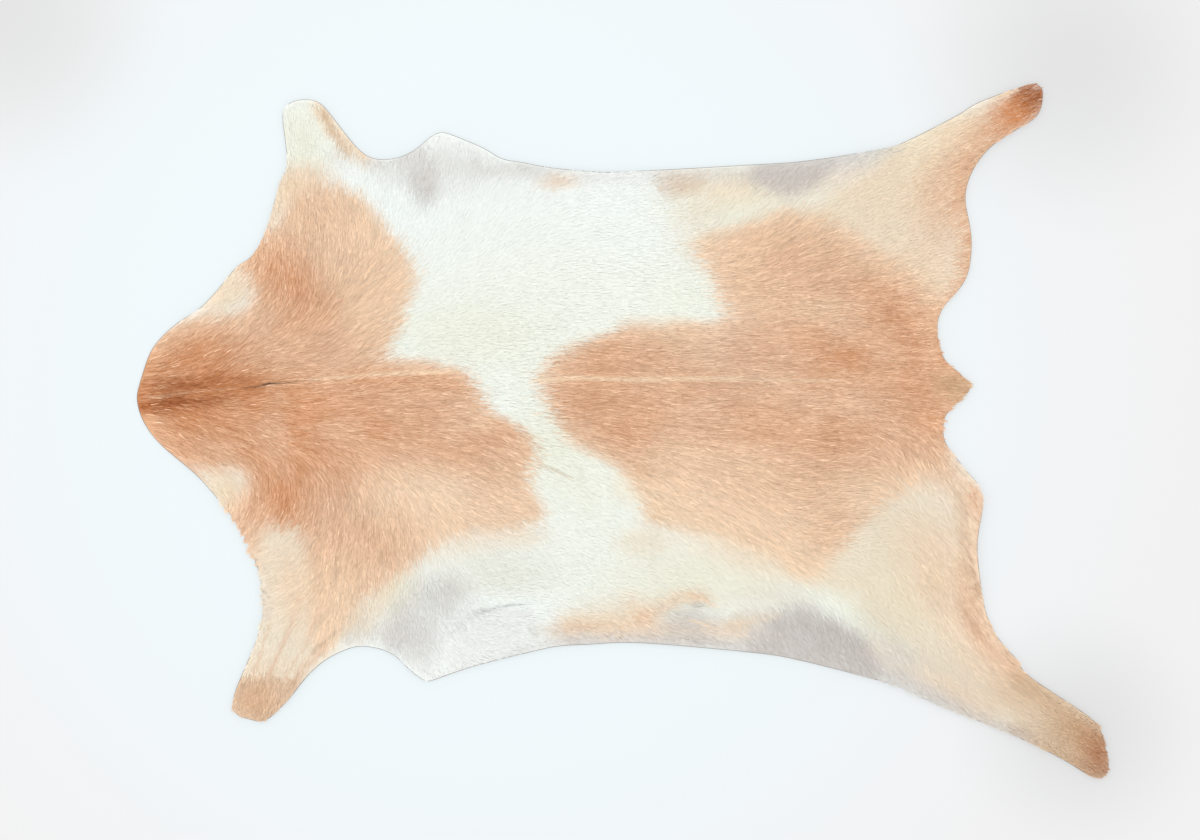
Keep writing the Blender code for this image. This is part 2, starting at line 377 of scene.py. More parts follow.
@dataclass(frozen=True)
class Patch:
    """A patch of one tone with a soft ragged border, and the deeper shades inside it."""

    tone: Tone
    strength: float
    softness: float
    outline: list[Spot]
    shades: list[Blotch | Streak] = field(default_factory=list)

    def box(self) -> tuple[np.ndarray, np.ndarray]:
        """The low and high corners of the area that the patch can reach."""
        return around(self.outline, self.softness)

    def amount(self, spots: np.ndarray) -> np.ndarray:
        """How far each spot belongs to the patch, from 0 to 1."""
        depth = -beyond(spots, rounded(np.array(self.outline, float)))
        return soft_step(depth, -self.softness, self.softness)


def blotches(tone: Tone, *rows: tuple[float, ...]) -> list[Blotch]:
    """Blotches of one tone, from rows with the other numbers of each."""
    return [Blotch(tone, *row) for row in rows]


def streaks(tone: Tone, *rows: tuple[float, float, list[Spot]]) -> list[Streak]:
    """Streaks of one tone, from rows with the strength, half width and route of each."""
    return [Streak(tone, *row) for row in rows]


def where_near(mark: Blotch | Streak | Patch, spots: np.ndarray) -> np.ndarray:
    """The mark's amount at each spot, worked out only where the mark can reach."""
    low, high = mark.box()
    near = np.flatnonzero(((spots > low) & (spots < high)).all(1))
    amounts = np.zeros(len(spots))
    if len(near):
        amounts[near] = mark.amount(spots[near])
    return amounts


def rounded(loop: np.ndarray) -> np.ndarray:
    """A closed loop with its corners cut twice, so that it runs smoothly."""
    for _ in range(2):
        after = np.roll(loop, -1, axis=0)
        loop = np.stack([loop * 0.75 + after * 0.25, loop * 0.25 + after * 0.75], axis=1).reshape(-1, 2)
    return loop


FRONT_PATCH = Patch(
    Tone.FAWN, 1.0, 9.0,
    [
        (146, 166), (156, 184), (176, 196), (200, 193), (226, 183), (242, 163), (260, 143), (275, 120),
        (280, 97), (268, 62), (255, 40), (248, 24), (300, 18), (330, 11), (341, -5), (345, -24), (356, -34),
        (383, -46), (398, -60), (396, -78), (394, -98), (402, -118), (404, -132), (394, -142), (368, -148),
        (335, -152), (295, -163), (268, -191), (240, -208), (212, -230), (203, -262), (185, -274),
        (176, -258), (174, -220), (172, -185), (168, -152), (140, -145), (84, -140), (91, -122), (108, -109),
        (113, -95), (103, -88), (68, -86), (-40, -100), (-40, 40), (45, 66), (80, 64), (110, 70), (118, 92),
        (104, 110), (60, 130), (90, 170), (132, 150),
    ],
    [
        *blotches(
            Tone.TAN, (0.4, 172, 160, 60, 70), (0.4, 205, 85, 90, 75), (1.0, 120, 20, 190, 90, 8),
            (1.0, 60, -40, 130, 75), (1.0, 285, -30, 165, 76, -18), (0.6, 350, -55, 75, 55, -25),
            (0.5, 250, -162, 60, 50), (0.3, 350, -95, 85, 50, -20), (0.9, 165, -95, 90, 70, -10),
            (0.6, 200, -150, 75, 70), (0.45, 138, 90, 60, 50), (0.25, 210, -190, 70, 60),
        ),
        *blotches(
            Tone.DEEP, (0.15, 360, -50, 60, 34, -28), (0.45, 55, -73, 50, 24, -30), (0.4, 243, 2, 62, 26),
            (0.2, 260, -60, 110, 45, -12), (0.6, 163, -52, 72, 36, 90), (0.4, 115, -72, 60, 30),
            (0.5, 165, -18, 60, 34), (0.35, 205, -85, 70, 42), (0.4, 105, -20, 42, 26), (0.3, 310, 0, 70, 22),
            (0.65, 142, 115, 48, 60, 60), (0.45, 165, 75, 50, 55, 60), (0.75, 50, 18, 90, 48, 18),
            (0.7, 60, -35, 110, 42, -8), (0.75, 145, -115, 62, 45, -60), (0.45, 200, -40, 130, 60, -10),
            (0.9, 70, -8, 130, 34, 6),
        ),
        *blotches(
            Tone.BROWN, (0.35, 14, 10, 20, 26), (0.5, 32, -5, 78, 13, 8), (0.8, 26, -23, 78, 13, 6),
            (0.4, 50, -14, 135, 26, 7), (0.12, 60, 0, 120, 46, 9),
        ),
        Blotch(Tone.GREY, 0.14, 313, -108, 46, 26),
        *blotches(
            Tone.PALE, (0.35, 305, -110, 42, 24), (0.35, 345, -38, 38, 17, -25), (0.2, 232, 78, 50, 70),
            (0.3, 197, -212, 60, 44, -40),
        ),
        *streaks(
            Tone.PALE, (0.28, 2.4, [(10, -15), (24, -16), (32, -13)]), (0.2, 2.2, [(38, -13), (56, -10)]),
            (0.14, 2.0, [(72, -9), (92, -7), (103, -5)]), (0.5, 3.4, [(172, 2), (210, 5), (236, 7)]),
            (0.7, 4.0, [(236, 7), (270, 9), (298, 10), (316, 10)]),
        ),
        # painted shade in the furrow along the back line behind the neck, in three tapering pieces
        *streaks(
            Tone.DARK, (0.5, 1.0, [(105, -6.5), (113, -5.4), (120, -5.4)]),
            (0.95, 1.4, [(120, -5.4), (125, -4), (131, -1.9), (137, -1.6)]),
            (0.75, 1.05, [(137, -1.6), (143, -2), (150, -0.8), (157, 0.2), (164, 1.6)]),
        ),
    ],
)

REAR_PATCH = Patch(
    Tone.FAWN, 1.0, 10.0,
    [
        (553, 141), (582, 149), (626, 162), (663, 177), (713, 152), (748, 130), (786, 108), (812, 84),
        (826, 56), (836, 32), (860, -5), (832, -34), (822, -64), (802, -92), (762, -112), (723, -143),
        (708, -165), (678, -192), (660, -200), (633, -175), (590, -160), (546, -149), (508, -140),
        (506, -122), (496, -97), (477, -81), (445, -70), (424, -54), (409, -15), (401, 9), (428, 30),
        (463, 48), (503, 59), (563, 61), (594, 62), (583, 87), (568, 112),
    ],
    [
        *blotches(
            Tone.TAN, (0.6, 655, 95, 130, 75), (0.5, 660, 132, 100, 44, -6), (0.85, 718, -70, 85, 44),
            (1.0, 480, 0, 110, 75), (1.0, 560, -5, 190, 75), (1.0, 720, 5, 170, 95),
            (0.95, 770, -45, 110, 62, -8), (0.6, 745, 75, 95, 60, -35), (0.45, 520, -60, 100, 50, -24),
            (0.8, 430, -12, 40, 44), (0.4, 700, -148, 75, 42, -50), (0.5, 650, -90, 120, 60),
            (0.3, 548, -22, 50, 26),
        ),
        *blotches(
            Tone.DEEP, (0.3, 480, -30, 80, 42, -25), (0.3, 484, -54, 46, 22, -25),
            (0.18, 470, 25, 75, 40, 25), (0.35, 640, 40, 120, 40), (0.45, 642, -52, 130, 38),
            (0.5, 800, 0, 85, 60), (0.5, 796, -42, 36, 26), (0.4, 762, 62, 85, 50, -38),
            (0.3, 805, 48, 50, 44), (0.4, 708, 22, 60, 36),
        ),
        Blotch(Tone.KHAKI, 0.7, 824, -4, 44, 28),
        Blotch(Tone.GREY, 0.14, 600, 28, 75, 60),
        Streak(Tone.TAN, 0.55, 26, [(430, -36), (450, -54), (478, -70), (500, -88)]),
        *streaks(
            Tone.PALE, (0.35, 28, [(492, -104), (550, -142), (615, -172), (680, -188)]),
            (0.7, 4.2, [(400, 2), (440, 4), (490, 2), (540, 3), (600, 3)]),
            (0.4, 3.4, [(600, 3), (650, 1), (705, 1)]),
        ),
    ],
)

NECK_EDGE_MARKS = [
    *blotches(Tone.GOLDEN, (0.9, 92, 92, 60, 42, 50), (1.0, 88, -110, 62, 42, -50)),
    *blotches(
        Tone.FAWN, (0.9, 104, -146, 38, 28, -60), (0.7, 113, -166, 36, 30, -70), (0.45, 114, 96, 24, 40, 50),
        (0.4, 76, 80, 40, 16, 50), (0.25, 104, -100, 30, 24, -30),
    ),
    Blotch(Tone.TAN, 0.8, 106, -145, 36, 26, -60),
    Blotch(Tone.DEEP, 0.35, 118, -132, 34, 24, -60),
    Streak(Tone.DEEP, 0.5, 14, [(8, 30), (1, -14), (9, -48), (30, -72), (58, -94)]),
    Streak(Tone.KHAKI, 0.35, 9, [(12, 38), (1, -14), (9, -46)]),
]

RIGHT_FORELEG_MARKS = [
    Blotch(Tone.CREAM, 1.0, 163, 240, 50, 75),
    Blotch(Tone.GOLDEN, 0.9, 160, 188, 42, 40),
    Blotch(Tone.FAWN, 0.75, 172, 198, 46, 32),
    Blotch(Tone.KHAKI, 0.16, 146, 206, 18, 28),
    Blotch(Tone.GREY, 0.12, 160, 250, 40, 60),
    *streaks(
        Tone.GOLDEN, (0.6, 17, [(156, 205), (146, 184), (136, 166)]),
        (0.85, 15, [(182, 274), (196, 252), (211, 236), (228, 227)]),
    ),
    *streaks(
        Tone.FAWN, (0.5, 12, [(150, 190), (140, 174), (132, 160)]),
        (0.45, 9, [(184, 273), (198, 250), (213, 234), (224, 228)]),
    ),
    *streaks(
        Tone.KHAKI, (0.16, 14, [(200, 226), (225, 218), (240, 217)]),
        (0.55, 5.5, [(187, 268), (194, 253), (203, 238), (211, 229)]),
    ),
    Streak(Tone.GREY, 0.35, 14, [(236, 216), (258, 220), (268, 228)]),
]

LEFT_FORELEG_MARKS = [
    Patch(
        Tone.GOLDEN, 0.72, 11.0,
        [
            (103, -133), (163, -143), (193, -178), (208, -218), (235, -218), (263, -193), (258, -214),
            (236, -242), (210, -257), (193, -273), (163, -310), (90, -310), (110, -258), (120, -218),
            (112, -178), (92, -148),
        ],
        [
            *blotches(Tone.FAWN, (0.65, 158, -205, 40, 72, 10), (0.3, 125, -288, 50, 22, 10)),
            *streaks(
                Tone.TAN, (0.35, 4, [(163, -215), (152, -250), (133, -292)]),
                (0.3, 4, [(181, -226), (170, -262), (150, -292)]),
                (0.3, 3, [(128, -190), (134, -240), (118, -290)]),
            ),
        ],
    ),
    Patch(
        Tone.KHAKI, 0.34, 2.0,
        [(88, -294), (110, -297), (138, -297), (163, -294), (180, -310), (120, -360), (80, -340)],
        [
            Blotch(Tone.FAWN, 1.0, 122, -318, 90, 70),
            Blotch(Tone.TAN, 0.65, 118, -325, 60, 50),
        ],
    ),
    Blotch(Tone.GREY, 0.2, 220, -236, 30, 20),
    Streak(Tone.GOLDEN, 0.2, 24, [(205, -268), (240, -245), (262, -212), (285, -182), (330, -164)]),
    *streaks(
        Tone.TAN, (0.4, 13, [(94, -140), (106, -160), (116, -185)]),
        (0.45, 8, [(150, -312), (168, -285), (186, -266)]),
    ),
    *streaks(
        Tone.GREY, (0.3, 14, [(212, -255), (243, -252), (258, -262)]), (0.3, 6, [(126, -212), (130, -235)]),
    ),
    # painted shade in a short dark crease line on the foreleg
    Streak(Tone.DARK, 0.4, 1.5, [(175, -270), (186, -261), (200, -249)]),
]

FLANK_MARKS = [
    Patch(
        Tone.FAWN, 0.52, 13.0,
        [
            (419, -241), (438, -235), (475, -236), (503, -228), (518, -230), (518, -250), (488, -248),
            (463, -252), (423, -255),
        ],
        [*blotches(Tone.TAN, (0.35, 442, -247, 36, 14), (0.3, 508, -238, 18, 15))],
    ),
    Patch(
        Tone.GREY, 0.9, 12.0,
        [
            (604, -268), (620, -244), (644, -226), (668, -224), (700, -236), (728, -256), (745, -290),
            (725, -315), (663, -300), (604, -290),
        ],
    ),
    Patch(
        Tone.GREY, 0.42, 17.0,
        [
            (258, -222), (278, -195), (313, -190), (326, -205), (318, -230), (303, -258), (293, -283),
            (283, -293), (258, -270), (241, -263),
        ],
    ),
    Patch(
        Tone.GREY, 0.18, 2.5,
        [
            (303, -278), (333, -240), (353, -230), (388, -224), (399, -248), (403, -266), (363, -275),
            (323, -286),
        ],
    ),
    Patch(
        Tone.GREY, 0.5, 11.0,
        [
            (260, 222), (268, 234), (284, 236), (298, 224), (306, 204), (303, 184), (291, 174), (280, 184),
            (268, 204),
        ],
    ),
    Patch(
        Tone.KHAKI, 0.34, 9.0,
        [(515, 208), (556, 209), (568, 203), (562, 193), (549, 186), (535, 184), (521, 190)],
    ),
    Patch(
        Tone.GREY, 0.8, 11.0,
        [(612, 222), (663, 232), (705, 236), (690, 206), (665, 189), (643, 186), (616, 194)],
        [Blotch(Tone.GREY, 0.35, 645, 206, 40, 20)],
    ),
    *blotches(
        Tone.CREAM, (0.5, 425, 30, 330, 190), (0.7, 325, 48, 120, 55), (0.8, 418, -62, 75, 70),
        (0.5, 550, 85, 80, 60), (0.6, 455, -115, 110, 85), (0.85, 570, -195, 220, 75),
        (0.6, 365, -190, 110, 40), (0.9, 262, -205, 34, 50),
    ),
    *blotches(
        Tone.GOLDEN, (0.35, 330, -160, 115, 24), (0.5, 505, -160, 44, 28), (0.15, 560, -200, 170, 50),
        (0.4, 385, -152, 50, 22), (0.5, 480, -232, 95, 32, 4),
    ),
    *blotches(
        Tone.FAWN, (0.35, 330, -152, 95, 20), (0.18, 620, -182, 120, 30, -10), (0.35, 495, -218, 14, 20),
        (0.7, 421, 200, 34, 14), (0.45, 545, 200, 40, 22), (0.35, 592, 196, 60, 24),
    ),
    *blotches(Tone.KHAKI, (0.16, 635, -214, 75, 24), (0.18, 412, -250, 28, 15), (0.4, 611, -238, 42, 17, 8)),
    *blotches(
        Tone.GREY, (0.55, 552, -238, 50, 26, -8), (0.38, 268, -252, 34, 38, 20), (0.25, 318, -215, 40, 34),
        (0.16, 365, -192, 95, 38), (0.25, 286, 200, 34, 22, -55), (0.34, 318, 222, 66, 34, -15),
        (0.3, 256, 205, 26, 16), (0.1, 312, 198, 36, 24), (0.35, 385, 212, 60, 14), (0.4, 580, 208, 75, 18),
        (0.3, 620, 205, 34, 20),
    ),
    # painted shadow at the tip of the fold on the flank
    Blotch(Tone.DARK, 0.45, 561, -223, 10, 3.4, 10),
    Streak(Tone.GOLDEN, 0.45, 15, [(430, -238), (475, -240), (510, -232), (540, -216), (565, -212)]),
    *streaks(
        Tone.FAWN, (0.15, 20, [(512, -146), (546, -160), (590, -170), (640, -186)]),
        (0.5, 9, [(503, -234), (523, -226), (538, -217), (553, -213), (573, -219)]),
        (0.45, 20, [(470, -252), (540, -248), (600, -252)]),
        (0.35, 16, [(575, -246), (610, -250), (640, -256)]),
        (0.4, 24, [(735, -270), (790, -300), (850, -330)]),
    ),
    *streaks(
        Tone.TAN, (0.45, 3.0, [(500, -236), (513, -230), (523, -226), (531, -220), (538, -217)]),
        (0.35, 4.5, [(538, -217), (553, -213), (563, -214), (573, -220)]),
        (0.18, 2.4, [(600, -244), (615, -241), (630, -238), (645, -233)]),
    ),
    *streaks(
        Tone.KHAKI, (0.2, 20, [(420, -252), (460, -251), (513, -249), (560, -250)]),
        (0.38, 3.0, [(409, -85), (418, -88), (427, -93)]),
    ),
    *streaks(
        Tone.GREY, (0.35, 7, [(300, -297), (340, -284), (400, -265), (440, -258)]),
        (0.6, 17, [(436, -262), (540, -260), (600, -264), (640, -272)]),
        (0.65, 28, [(735, -292), (790, -318), (840, -342), (880, -362)]),
        # the next two rows are painted shade below the flap's crease and along the flap's right side
        (0.45, 5.0, [(313, -255), (326, -243), (338, -233), (352, -227)]),
        (0.35, 3.5, [(391, -227), (398, -243), (401, -260)]),
        (0.07, 34, [(320, 205), (430, 200), (530, 200)]), (0.22, 15, [(340, 216), (430, 206), (530, 206)]),
        (0.55, 16, [(695, 222), (730, 229), (755, 236)]),
    ),
    *streaks(
        Tone.PALE, (0.6, 2.4, [(551, -238), (563, -240), (574, -246)]),
        (0.7, 2.6, [(596, -242), (613, -238), (628, -236), (643, -231)]),
    ),
    # painted shade in the flap's crease: a faint wide line and a thin dark one
    *streaks(
        Tone.DARK, (0.12, 2.8, [(330, -236), (341, -230), (352, -228), (368, -224), (386, -222)]),
        (0.34, 1.3, [(336, -232), (343, -229), (352, -228), (361, -225), (373, -223), (384, -222)]),
    ),
]

RIGHT_HIND_MARKS = [
    Patch(
        Tone.GOLDEN, 0.8, 15.0,
        [
            (600, 154), (640, 164), (682, 180), (720, 202), (768, 250), (823, 272), (852, 252), (845, 182),
            (852, 142), (846, 98), (812, 66), (763, 92), (713, 132), (663, 150), (603, 150), (563, 142),
            (543, 132),
        ],
    ),
    *blotches(Tone.CREAM, (1.0, 790, 225, 120, 60, 25), (1.0, 610, 185, 120, 60)),
    *blotches(
        Tone.GOLDEN, (0.9, 855, 250, 100, 60, 40), (0.45, 625, 190, 140, 36, 8), (0.35, 560, 150, 50, 60),
    ),
    *blotches(
        Tone.FAWN, (0.6, 780, 105, 75, 65), (0.25, 770, 180, 90, 50, 20), (0.4, 704, 206, 85, 28, 12),
        (0.7, 815, 215, 45, 90, -25), (0.6, 840, 175, 40, 70),
    ),
    *blotches(
        Tone.TAN, (0.5, 804, 175, 44, 66), (0.35, 825, 222, 40, 26, 40), (0.9, 858, 256, 62, 30, 38),
        (0.65, 830, 205, 18, 55, -15),
    ),
    Blotch(Tone.DEEP, 1.0, 885, 276, 50, 32, 35),
    Blotch(Tone.BROWN, 0.9, 896, 286, 32, 30),
    Blotch(Tone.GREY, 0.3, 716, 213, 66, 22, 14),
    Blotch(Tone.PALE, 0.85, 868, 290, 22, 8, 25),
    Streak(
        Tone.TAN, 0.85, 17,
        [(874, 262), (846, 236), (828, 208), (824, 178), (832, 140), (828, 104), (812, 74)],
    ),
    Streak(Tone.KHAKI, 0.35, 4, [(826, 168), (827, 190), (836, 215), (850, 236)]),
]

LEFT_HIND_MARKS = [
    Patch(
        Tone.GOLDEN, 0.62, 15.0,
        [
            (805, -58), (835, -88), (855, -118), (850, -178), (858, -218), (883, -262), (933, -300),
            (975, -340), (985, -400), (943, -400), (883, -366), (823, -333), (783, -296), (765, -262),
            (735, -225), (693, -206), (663, -194), (683, -168), (723, -138), (763, -88),
        ],
    ),
    Patch(
        Tone.TAN, 0.65, 4.0,
        [(829, -98), (837, -97), (848, -115), (848, -130), (843, -141), (832, -138), (827, -118)],
    ),
    Blotch(Tone.CREAM, 1.0, 760, -215, 130, 110),
    *blotches(Tone.GOLDEN, (0.5, 770, -150, 60, 60), (0.6, 900, -320, 110, 60, -38)),
    *blotches(Tone.FAWN, (0.7, 800, -85, 60, 40, -50), (0.6, 800, -180, 60, 75)),
    *blotches(Tone.TAN, (0.4, 803, -82, 46, 26, -50), (0.55, 834, -236, 42, 22, -65)),
    Blotch(Tone.DEEP, 0.55, 955, -368, 48, 38, -38),
    *blotches(
        Tone.KHAKI, (0.4, 922, -360, 70, 30, -38), (0.16, 822, -296, 70, 36, -40),
        (0.2, 738, -244, 42, 26, -40),
    ),
    *blotches(Tone.BROWN, (0.5, 964, -382, 34, 30), (0.35, 960, -362, 38, 26, -50)),
    Blotch(Tone.GREY, 0.35, 765, -276, 50, 30, -25),
    *streaks(
        Tone.FAWN, (0.7, 24, [(830, -110), (832, -200), (854, -262), (905, -312), (950, -355)]),
        (0.5, 34, [(800, -205), (818, -245), (846, -280), (880, -306)]),
    ),
    *streaks(
        Tone.TAN, (0.22, 11, [(838, -150), (842, -220), (866, -262), (905, -292)]),
        (0.4, 20, [(826, -190), (833, -234), (850, -264), (878, -288)]),
        (0.7, 3.0, [(841, -138), (840, -160), (840, -180)]),
    ),
    *streaks(
        Tone.KHAKI, (0.4, 18, [(886, -298), (915, -320), (948, -348)]),
        (0.6, 22, [(880, -354), (912, -374), (955, -398)]),
        (0.34, 44, [(880, -306), (915, -332), (960, -368)]), (0.5, 36, [(932, -348), (975, -385)]),
        (0.45, 8, [(900, -290), (930, -312), (955, -332), (970, -360)]),
        # the next row is a painted shadow band beside the turned-back edge
        (0.3, 9, [(822, -115), (824, -150), (826, -180), (838, -208)]),
    ),
    # painted shadow along the inner side of the turned-back edge
    Streak(Tone.BROWN, 0.35, 2.4, [(829, -126), (831, -150), (831, -172), (838, -195), (842, -215)]),
    Streak(Tone.PALE, 0.6, 2.6, [(835, -140), (835, -160), (835, -176)]),
]

COAT_MARKS = [
    FRONT_PATCH,
    REAR_PATCH,
    *NECK_EDGE_MARKS,
    *RIGHT_FORELEG_MARKS,
    *LEFT_FORELEG_MARKS,
    *FLANK_MARKS,
    *RIGHT_HIND_MARKS,
    *LEFT_HIND_MARKS,
]


@dataclass(frozen=True)
class Heading:
    """Which way the hair lies round a spot, in degrees from the tail's way towards the right side."""

    along: float
    across: float
    turn: float


HAIR_FLOW = [
    Heading(*row)
    for row in (
        (13, -13, 7), (63, 42, 35), (93, 72, 45), (50, -50, -25), (80, -90, -30), (105, -138, -120),
        (120, -180, 190), (123, -210, 200), (165, 110, 95), (190, 180, 100), (165, 250, 95), (205, 235, 65),
        (243, 57, 31), (160, 0, 0), (300, 30, 8), (300, -20, -5), (213, -168, -96), (260, -210, -92),
        (133, -278, -105), (283, -218, -84), (318, -223, -63), (290, 220, 80), (363, -93, -27), (420, 0, 0),
        (513, 112, -6), (513, -148, -31), (370, -255, -10), (362, -226, 12), (470, -225, -12),
        (480, -250, -35), (550, -240, -20), (613, -168, -39), (560, 0, 0), (700, 0, 0), (703, -118, 14),
        (663, -258, -70), (613, 202, 53), (783, -83, -63), (823, -208, -63), (903, -328, -31), (863, 262, 24),
        (763, 182, 24), (793, -3, 0),
    )
]


@dataclass(frozen=True)
class Growth:
    """How long the hair is round a spot, and how far it may hang over the cut edge there."""

    along: float
    across: float
    length: float
    overhang: float


HAIR_GROWTH = [
    Growth(*row)
    for row in (
        (30, -15, 19, -0.3), (100, -130, 14, 5.0), (122, -195, 13, 6.0), (110, -320, 9, 2.5),
        (165, 265, 9, 0.4), (145, 190, 12, 2.0), (300, 230, 13, 0.4), (190, -275, 11, -0.4),
        (320, -280, 13, 0.6), (420, -265, 14, -0.4), (200, 0, 19, 1.0), (420, 0, 20, 1.0), (600, 0, 20, 1.0),
        (600, 210, 14, -0.4), (600, -265, 14, -0.4), (808, -45, 17, 6.5), (828, -3, 16, 2.5),
        (830, 150, 14, 1.0), (890, 275, 9, 2.5), (845, -160, 13, 0.5), (875, -280, 11, 4.5),
        (950, -370, 9, 3.5),
    )
]


def weights_near(spots: np.ndarray, places: np.ndarray, reach: float) -> np.ndarray:
    """How much each place counts at each spot, nearest most, with a sum of 1 for each spot."""
    squares = ((spots[:, None] - places) ** 2).sum(2)
    weights = 1 / (squares + reach**2) ** 1.5
    return weights / weights.sum(1, keepdims=True)


class CoatLie:
    """The flow and the length of the hair all over the hide."""

    REACH = 28.0

    def heading(self, spots: np.ndarray) -> np.ndarray:
        """Which way the hair lies at each spot, in radians."""
        places = np.array([(spot.along, spot.across) for spot in HAIR_FLOW])
        ways = directions(np.radians([spot.turn for spot in HAIR_FLOW]))
        way = weights_near(spots, places, self.REACH) @ ways
        return np.arctan2(way[:, 1], way[:, 0])

    def growth(self, spots: np.ndarray) -> tuple[np.ndarray, np.ndarray]:
        """The hair's length and its overhang at each spot, in millimetres."""
        places = np.array([(spot.along, spot.across) for spot in HAIR_GROWTH])
        sizes = np.array([(spot.length, spot.overhang) for spot in HAIR_GROWTH])
        found = weights_near(spots, places, self.REACH) @ sizes
        return found[:, 0], found[:, 1]


class CoatPattern:
    """The colours of the coat all over the hide."""

    WAVER = (3.5, 2.0)
    MOTTLE = (0.2, 0.12)

    def __init__(self) -> None:
        """Draws the waver of the patches' borders and the mottle inside them."""
        self.coarse = [Ripple(26.0, 11), Ripple(26.0, 12)]
        self.fine = [Ripple(7.0, 13), Ripple(7.0, 14)]
        self.mottle = [Ripple(24.0, 15), Ripple(9.0, 16)]

    def amounts(self, spots: np.ndarray) -> dict[Tone, np.ndarray]:
        """How much of each tone each spot has, from 0 to 1."""
        pairs = [(coarse.at(spots), fine.at(spots)) for coarse, fine in zip(self.coarse, self.fine)]
        waver = np.stack([coarse * self.WAVER[0] + fine * self.WAVER[1] for coarse, fine in pairs], axis=1)
        left = {tone: np.ones(len(spots)) for tone in Tone}
        for mark in COAT_MARKS:
            if isinstance(mark, Patch):
                cover = where_near(mark, spots + waver)
                left[mark.tone] *= 1 - mark.strength * cover
                for shade in mark.shades:
                    left[shade.tone] *= 1 - where_near(shade, spots) * cover
            else:
                left[mark.tone] *= 1 - where_near(mark, spots)
        amounts = {tone: 1 - rest for tone, rest in left.items()}
        mottle = 1 + sum(ripple.at(spots) * share for ripple, share in zip(self.mottle, self.MOTTLE))
        for tone in (Tone.TAN, Tone.DEEP):
            amounts[tone] = np.clip(amounts[tone] * mottle, 0, 1)
        return amounts

    @staticmethod
    def lines(tone: Tone, spots: np.ndarray) -> np.ndarray:
        """How much of one tone each spot has from the coat's narrow lines."""
        marks = [shade for mark in COAT_MARKS if isinstance(mark, Patch) for shade in mark.shades]
        left = np.ones(len(spots))
        for mark in marks + COAT_MARKS:
            if mark.tone is tone and not isinstance(mark, Patch):
                left *= 1 - where_near(mark, spots)
        return 1 - left


class Graph:
    """The nodes of one material."""

    def __init__(self, name: str) -> None:
        """Starts a material with one Principled shader.

        Args:
            name: the material's name.
        """
        self.material = bpy.data.materials.new(name)
        self.material.use_nodes = True
        self.tree = self.material.node_tree
        self.shader = self.tree.nodes["Principled BSDF"]

    def node(self, kind: str, settings: dict[str, Any], sockets: dict[Any, Any], out: Any = 0) -> Value:
        """Adds one node.

        Args:
            kind: the node's type.
            settings: its own settings, set first.
            sockets: values or links for its inputs, by name or number.
            out: the output that is wanted, by name or number.

        Returns:
            That output, ready for arithmetic.
        """
        node = self.tree.nodes.new(kind)
        for name, setting in settings.items():
            setattr(node, name, setting)
        for name, value in sockets.items():
            self.feed(node.inputs[name], value)
        return Value(self, node.outputs[out])

    def feed(self, socket: bpy.types.NodeSocket, value: Any) -> None:
        """Links a value to a socket, or sets the socket to a number or colour."""
        if isinstance(value, Value):
            self.tree.links.new(value.socket, socket)
        elif isinstance(value, tuple) and len(value) == 3 and socket.type == "RGBA":
            socket.default_value = (*value, 1.0)
        else:
            socket.default_value = value

    def surface(self, **values: Any) -> None:
        """Feeds the shader's own sockets, whose names are given with _ for a space."""
        for name, value in values.items():
            self.feed(self.shader.inputs[name.replace("_", " ")], value)

    def attribute(self, name: str) -> Value:
        """A number that the mesh keeps at each of its points."""
        return self.node("ShaderNodeAttribute", {"attribute_name": name}, {}, "Fac")

    def blend(self, start: Any, end: Any, share: Any) -> Value:
        """Two colours mixed by share."""
        return self.node("ShaderNodeMix", {"data_type": "RGBA"}, {0: share, 6: start, 7: end}, 2)

    def noise(self, place: Any, scale: float, detail: float = 3.0) -> Value:
        """Blender's noise at a place, from 0 to 1."""
        return self.node("ShaderNodeTexNoise", {}, {"Vector": place, "Scale": scale, "Detail": detail})

    def body(self) -> Value:
        """The place on the piece, in metres."""
        return self.node("ShaderNodeTexCoord", {}, {}, "Object")

    def bump(self, height: Any, distance: float, strength: float = 1.0) -> Value:
        """A bumped normal."""
        sockets = {"Height": height, "Distance": distance, "Strength": strength}
        return self.node("ShaderNodeBump", {}, sockets)


@dataclass(frozen=True)
class Value:
    """A number that a node gives, with the arithmetic that this file uses."""

    graph: Graph
    socket: bpy.types.NodeSocket

    def maths(self, operation: str, first: Any, second: Any) -> Value:
        """One Math node."""
        return self.graph.node("ShaderNodeMath", {"operation": operation}, {0: first, 1: second})

    def __add__(self, other: Any) -> Value:
        """The sum."""
        return self.maths("ADD", self, other)

    __radd__ = __add__

    def __mul__(self, other: Any) -> Value:
        """The product."""
        return self.maths("MULTIPLY", self, other)

    __rmul__ = __mul__

    def __sub__(self, other: Any) -> Value:
        """The difference."""
        return self.maths("SUBTRACT", self, other)


